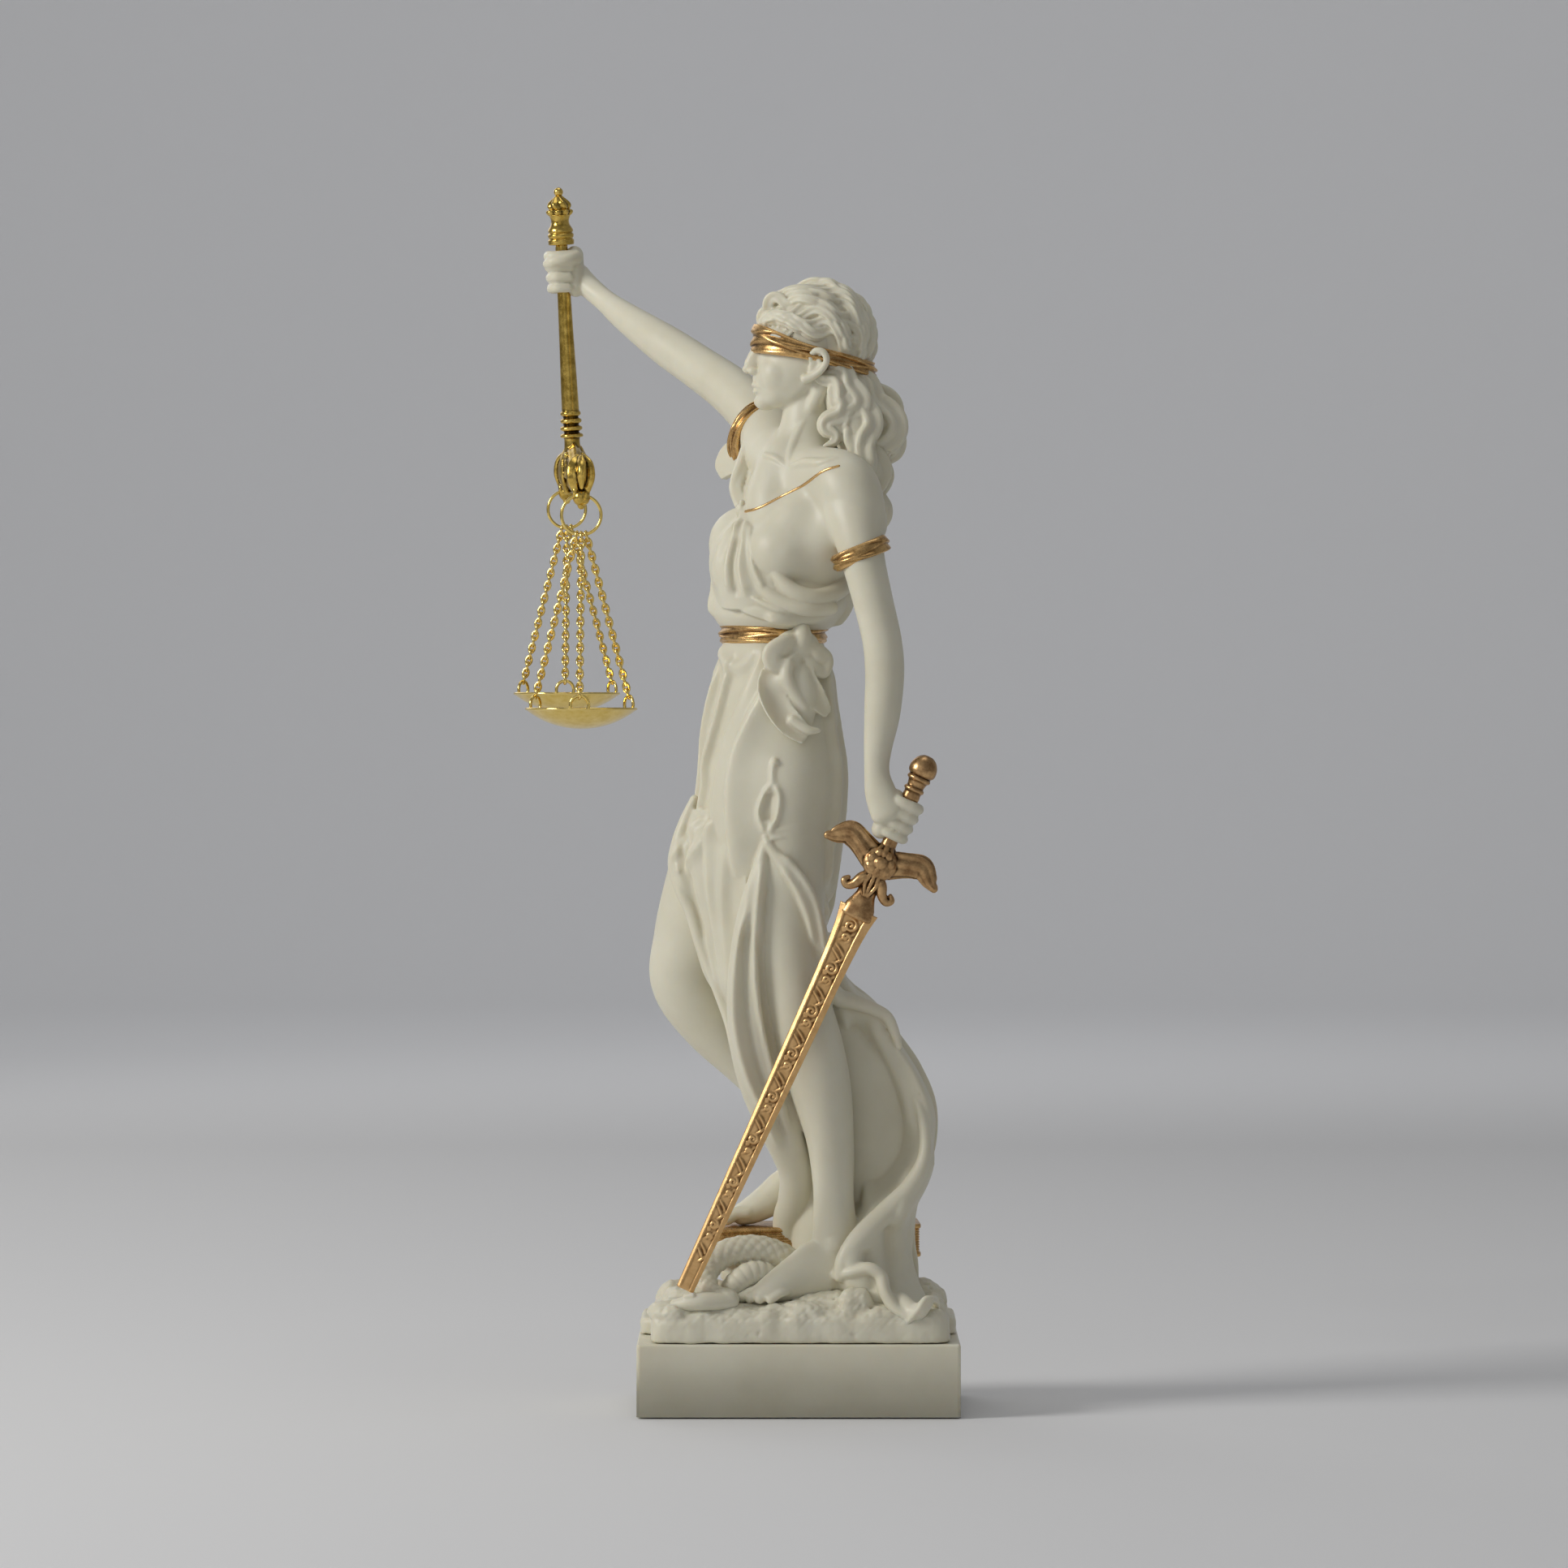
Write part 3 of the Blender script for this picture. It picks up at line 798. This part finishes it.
def handle_grid(grow):
    """Pommel, ferrule, grip, guard boss and collar, turned round the sword's axis."""
    profile = [(-POMMEL_RADIUS - grow, 0.3 * PART), (-3.1 * PART - grow, 1.4 * PART + grow)]
    profile += [(-1.8 * PART, POMMEL_RADIUS * 0.92 + grow), (0.0, POMMEL_RADIUS + grow)]
    profile += [(1.8 * PART, POMMEL_RADIUS * 0.86 + grow), (2.8 * PART, 2.2 * PART + grow)]
    profile += [(4.4 * PART, 2.6 * PART + grow), (5.6 * PART, 1.9 * PART + grow), (8 * PART, GRIP_RADIUS + grow)]
    profile += [(20 * PART, GRIP_RADIUS * 0.94 + grow), (22.2 * PART, 2.6 * PART + grow)]
    profile += [(26.8 * PART, 3 * PART + grow), (30.6 * PART, 2.1 * PART + grow), (33 * PART, 2.2 * PART + grow)]
    profile += [(35 * PART, 3.4 * PART + grow), (38.4 * PART, 4 * PART + grow)]
    profile.append((39.2 * PART + grow, 3.6 * PART + grow))
    start, direction, _, _, _ = sword_frame()
    return aimed(turned(profile, 14), start, direction)


def guard_grids(grow):
    """The two wings of the guard, and the two short leaves that curl below it."""
    near = sword_frame()[3]
    wing = []
    for t in np.linspace(-1, 1, 13):
        s = (26.2 - 4.6 * t**2 + 3 * abs(t) ** 5 + 0.4 * t) * PART
        tall = (2.3 - 1.2 * abs(t)) * PART + grow
        wing.append((*on_sword(s, GUARD_REACH * t), tall, (1.7 - 0.6 * abs(t)) * PART + grow))
    grids = [limb(wing, side=near, around=10, along=30, cap=2)]
    for s in (-1, 1):
        spots = ((30, 1), (31.6, 3.6), (30.4, 5.4), (29, 4.8))
        curl = [on_sword(down * PART, out * PART * s) for down, out in spots]
        grids.append(rod(curl, 1.1 * PART + grow, 8, 12, side=near))
    return grids


def blade_grid(grow):
    """The long blade: a flat panel between two bevels, flared at the collar and cut square at its point."""
    length = sword_frame()[4]
    share = np.linspace(0, 1, 9)
    stations = np.linspace(DRAWN_BLADE_START * PART, length + 0.6 * grow, len(share))
    flare = 1.2 * PART * np.exp(-share / 0.08)
    width = (BLADE_TOP_WIDTH * (1 - share) + BLADE_TIP_WIDTH * share) / 2 - 0.6 * PART + flare + grow
    width[-1] = BLADE_TIP_WIDTH / 2 * 0.9 + grow
    thick = (BLADE_THICKNESS / 2) * (1 - 0.3 * share) + grow
    rows = []
    for s, w, t in zip(stations, width, thick):
        edge = 0.34 * t
        corners = [(-w, -edge), (-w, edge), (-0.62 * w, t), (0.50 * w, t), (w, edge), (w, -edge)]
        corners += [(0.50 * w, -t), (-0.62 * w, -t)]
        rows.append([on_sword(s, u, v) for u, v in corners])
    return np.array(rows)


def sword_grids(grow=0.0):
    """The whole sword. grow widens it for a clearance cutter."""
    return [handle_grid(grow), *guard_grids(grow), blade_grid(grow)]


def staff_points():
    """The staff's axis as (top, foot), in metres."""
    return np.array(world((-61.2, 79.0, 290.9))), np.array(world((-58.4, 84.0, 237.0)))


def beam_points():
    """The beam's axis from its near tip to its far tip, in metres."""
    foot = np.array(world((-58.2, 84.2, 229.4)))
    b = unit(np.array(BEAM_DIRECTION, float))
    return foot - b * (BEAM_LENGTH * BEAM_HEART), foot + b * (BEAM_LENGTH * (1 - BEAM_HEART)), b


def staff_grid(grow):
    """The tapered staff with its collars and its foot, turned round its axis."""
    top, foot = staff_points()
    length = float(np.linalg.norm(foot - top))
    profile = [(-grow, STAFF_TOP_RADIUS * 0.9 + grow), (0.4 * PART, STAFF_TOP_RADIUS + grow)]
    profile += [(length * 0.76, STAFF_FOOT_RADIUS + grow)]
    for k in range(COLLAR_COUNT):
        z = length * 0.80 + COLLAR_PITCH * k
        waist = 2.1 * PART + grow
        profile += [(z - 0.7 * PART, waist), (z, (2.7 + 0.1 * k) * PART + grow), (z + 0.7 * PART, waist)]
    profile += [(length + 2 * PART, 2 * PART + grow), (length + 6 * PART, 2.6 * PART + grow)]
    return aimed(turned(profile, 12), top, unit(foot - top))


def beam_end(tip, out, across):
    """The carved end of the beam: a ball below, a volute rolled outwards and a leaf on each face."""
    up = np.array((0.0, 0.0, 1.0))
    grids = [ball(tip - up * 2.4 * PART, (2.4 * PART, 2.3 * PART, 2.6 * PART), 12, 8)]
    volute = ((-1.0, 0.0), (2.6, 1.2), (3.0, 3.8), (0.4, 4.6))
    grids.append(rod([tip + (out * a + up * b) * PART for a, b in volute], 1.3 * PART, 8, 12, side=across))
    for w in (-1, 1):
        leaf = ((-1.0, 1.2, 3.0), (0.0, 3.0, 1.0), (0.6, 1.8, -2.0))
        path = [tip + (out * a + across * w * b + up * c) * PART for a, b, c in leaf]
        grids.append(rod(path, 0.9 * PART, 6, 8, side=out))
    return grids


def beam_grids():
    """The bowed beam with its heart under the staff, and its two carved ends."""
    near, far, b = beam_points()
    up = np.array((0.0, 0.0, 1.0))
    across = unit(np.cross(b, up))
    rows = []
    for t in np.linspace(0, 1, 15):
        bow = 2.2 * (1 - abs(2 * t - 1) ** 1.6)
        heart = math.exp(-(((t - BEAM_HEART) / 0.13) ** 2))
        taper = 1.0 - 0.34 * abs(2 * t - 1) ** 3
        middle = near + (far - near) * t + up * (bow + 2 * heart) * PART
        rows.append((*middle, BEAM_WIDTH / 2 * (taper + 0.3 * heart), BEAM_DEPTH / 2 * (taper + 0.9 * heart)))
    grids = [limb(rows, side=up, around=12, along=34, cap=3)]
    heart = near + (far - near) * BEAM_HEART + up * 4 * PART
    for s in (-1, 1):
        leaf = ((1.6, 5.0), (3.6, 1.8), (3.6, -2.6), (1.6, -6.2))
        path = [heart + (across * s * out + up * rise_) * PART for out, rise_ in leaf]
        grids.append(rod(path, 1.2 * PART, 8, 14, side=b))
    return grids + beam_end(near, -b, across) + beam_end(far, b, across)


def finial_grid():
    """The turned finial over the upper fist: ring collar, bell, crown, cone and ball."""
    top, foot = staff_points()
    axis = unit(top - foot)
    rows = [(0.0, 0.62), (0.014, 1.0), (0.176, 1.0), (0.203, 0.9), (0.230, 0.97), (0.338, 0.74), (0.432, 0.70)]
    rows += [(0.514, 0.82), (0.581, 1.02), (0.622, 0.80), (0.676, 0.82), (0.797, 0.62), (0.865, 0.30)]
    rows += [(0.885, 0.34), (0.926, 0.42), (0.966, 0.36), (1.0, 0.12)]
    profile = [(z * FINIAL_HEIGHT, r * FINIAL_RADIUS) for z, r in rows]
    return aimed(turned(profile, 13), top + axis * FIT_GAP, axis)


def scale_side(side):
    """The ring's centre and the chains' top on one side, in metres."""
    near, far, b = beam_points()
    down = np.array((0.0, 0.0, -1.0))
    tip = near if side == "near" else far
    ring = tip + down * (RING_HOLE_DROP + RING_RADIUS - RING_SLACK)
    return ring, ring + down * (RING_RADIUS + RING_WIRE + FIT_GAP)


def pan_grid(centre):
    """A shallow dish with a thin wall and a rolled rim."""
    r, sag, wall = PAN_RADIUS, PAN_SAG, PAN_WALL
    ball_radius = (r * r + sag * sag) / (2 * sag)
    outer, inner = [], []
    for t in np.linspace(0.05, 1, 5):
        drop = ball_radius - math.sqrt(ball_radius**2 - (r * t) ** 2)
        outer.append((-sag + drop, r * t))
        inner.append((-sag + drop + wall, (r - wall * 0.6) * t))
    rim = [(RIM_HEIGHT * 0.3, r + RIM_OVERHANG), (RIM_HEIGHT, r + RIM_OVERHANG / 4)]
    return turned(outer + rim + inner[::-1], 24) + np.array(centre)


def chain_grid(start, end, links):
    """A twisted, scalloped cord of links, thin enough to stand for one chain."""
    start, end = np.asarray(start), np.asarray(end)
    axis = unit(end - start)
    length = float(np.linalg.norm(end - start))
    steps = links + links % 2 + 1
    side = unit(np.cross(axis, (0.31, 0.95, 0.02)))
    other = np.cross(axis, side)
    rows = []
    for k in range(steps):
        s = length * k / (steps - 1)
        wide = CHAIN_WIDTH / 2 * (1.0 if k % 2 else 0.62)
        a = math.radians(45 * k)
        corners = [a + math.pi / 2 * m for m in range(4)]
        rows.append([start + axis * s + wide * (side * math.cos(c) + other * math.sin(c)) for c in corners])
    return np.array(rows)


def one_piece(name, grids, finish, collection, voxel, triangles, rounds=2):
    """Several metal forms joined into one skin."""
    made = place(mesh_of(name, grids, to_world=False), name, collection, finish)
    fuse(made, voxel, rounds, triangles)
    made.data.materials.clear()
    made.data.materials.append(finish)
    return made


def clearance(name, grids, collection):
    """A cutter that leaves room round a metal piece: its grown grids joined into one skin of few facets."""
    cutter = hide(place(mesh_of(name, grids, to_world=False), name, collection))
    joined = cutter.modifiers.new("one skin", "REMESH")
    joined.mode = "VOXEL"
    joined.voxel_size = CUTTER_VOXEL
    thin = cutter.modifiers.new("facets", "DECIMATE")
    thin.ratio = 0.06
    return cutter


def build_figure(pieces, cutters, resin):
    """The one casting, with room for the sword and the staff."""
    forms = head_forms() + hair_forms() + torso_forms() + arm_forms() + skirt_forms()
    forms += train_forms() + leg_forms() + sash_forms() + ground_forms()
    figure = place(mesh_of("figure", forms), "figure", pieces, resin)
    fuse(figure, VOXEL_PARTS * PART, 1, FIGURE_TRIANGLES)
    figure.data.materials.clear()
    figure.data.materials.append(resin)
    cut(figure, clearance("room for the sword", sword_grids(FIT_GAP), cutters))
    cut(figure, clearance("room for the staff", [staff_grid(FIT_GAP)], cutters))
    apply_all(figure)
    keep_largest(figure.data)


def build_scale(side, staff, pieces, cutters, brass):
    """One side of the scales: its ring and the hole for it in the beam's end, its pan, hooks and chains."""
    ring, top = scale_side(side)
    facing = (0, 1, 0)
    place(loop_mesh("ring_" + side, loop(ring, RING_RADIUS, RING_WIRE, facing)), "ring_" + side, pieces, brass)
    room = loop_mesh("room for ring_" + side, loop(ring, RING_RADIUS, RING_WIRE + FIT_GAP, facing, 8, 28))
    cut(staff, hide(place(room, "room for ring_" + side, cutters)))
    up = np.array((0.0, 0.0, 1.0))
    pan = top - up * (CHAIN_LENGTH + HOOK_TOP_DROP)
    place(mesh_of("pan_" + side, [pan_grid(pan)], to_world=False), "pan_" + side, pieces, brass)
    for k in range(HOOK_COUNT):
        a = math.radians(-90 + 360 / HOOK_COUNT * k)
        out = np.array((math.cos(a), math.sin(a), 0))
        along = np.array((-math.sin(a), math.cos(a), 0))
        lift = RIM_HEIGHT + HOOK_WIRE + FIT_GAP + HOOK_RADIUS * 0.5
        hook = pan + out * (PAN_RADIUS - RIM_OVERHANG) + up * lift
        turns = np.linspace(0, math.pi, 9)
        arch = [hook + HOOK_RADIUS * (along * math.cos(t) + up * (math.sin(t) - 0.5)) for t in turns]
        name = f"hook_{side}_{k + 1}"
        place(mesh_of(name, [rod(arch, HOOK_WIRE, 4, 7, side=out)], to_world=False), name, pieces, brass)
        foot = hook + up * (HOOK_RADIUS * 0.5 + HOOK_WIRE + 2 * FIT_GAP)
        head = top + out * CHAIN_SPREAD
        name = f"chain_{side}_{k + 1}"
        links = round(float(np.linalg.norm(foot - head)) / CHAIN_PITCH)
        place(mesh_of(name, [chain_grid(head, foot, links)], to_world=False), name, pieces, brass)


def main():
    for old in list(bpy.data.objects):
        bpy.data.objects.remove(old, do_unlink=True)
    scene = bpy.context.scene
    pieces = bpy.data.collections.new("justice_statue")
    cutters = bpy.data.collections.new("cutters")
    scene.collection.children.link(pieces)
    scene.collection.children.link(cutters)
    resin = material("cast_resin", (0.80, 0.78, 0.68), 0.42)
    copper_gold = material("copper_gold", (0.62, 0.36, 0.16), 0.38, 1.0)
    old_brass = material("old_brass", (0.46, 0.33, 0.11), 0.34, 1.0)
    bright_brass = material("bright_brass", (0.80, 0.62, 0.22), 0.20, 1.0)

    place(plinth_mesh(), "plinth", pieces, resin)
    one_piece("sword", sword_grids(), copper_gold, pieces, SWORD_VOXEL, SWORD_TRIANGLES, 1)
    grids = [staff_grid(0.0), *beam_grids()]
    staff = one_piece("staff_and_beam", grids, old_brass, pieces, STAFF_VOXEL, STAFF_TRIANGLES, 1)
    place(mesh_of("finial", [finial_grid()], to_world=False), "finial", pieces, old_brass)
    build_figure(pieces, cutters, resin)
    for side in ("near", "far"):
        build_scale(side, staff, pieces, cutters, bright_brass)
    apply_all(staff)


main()
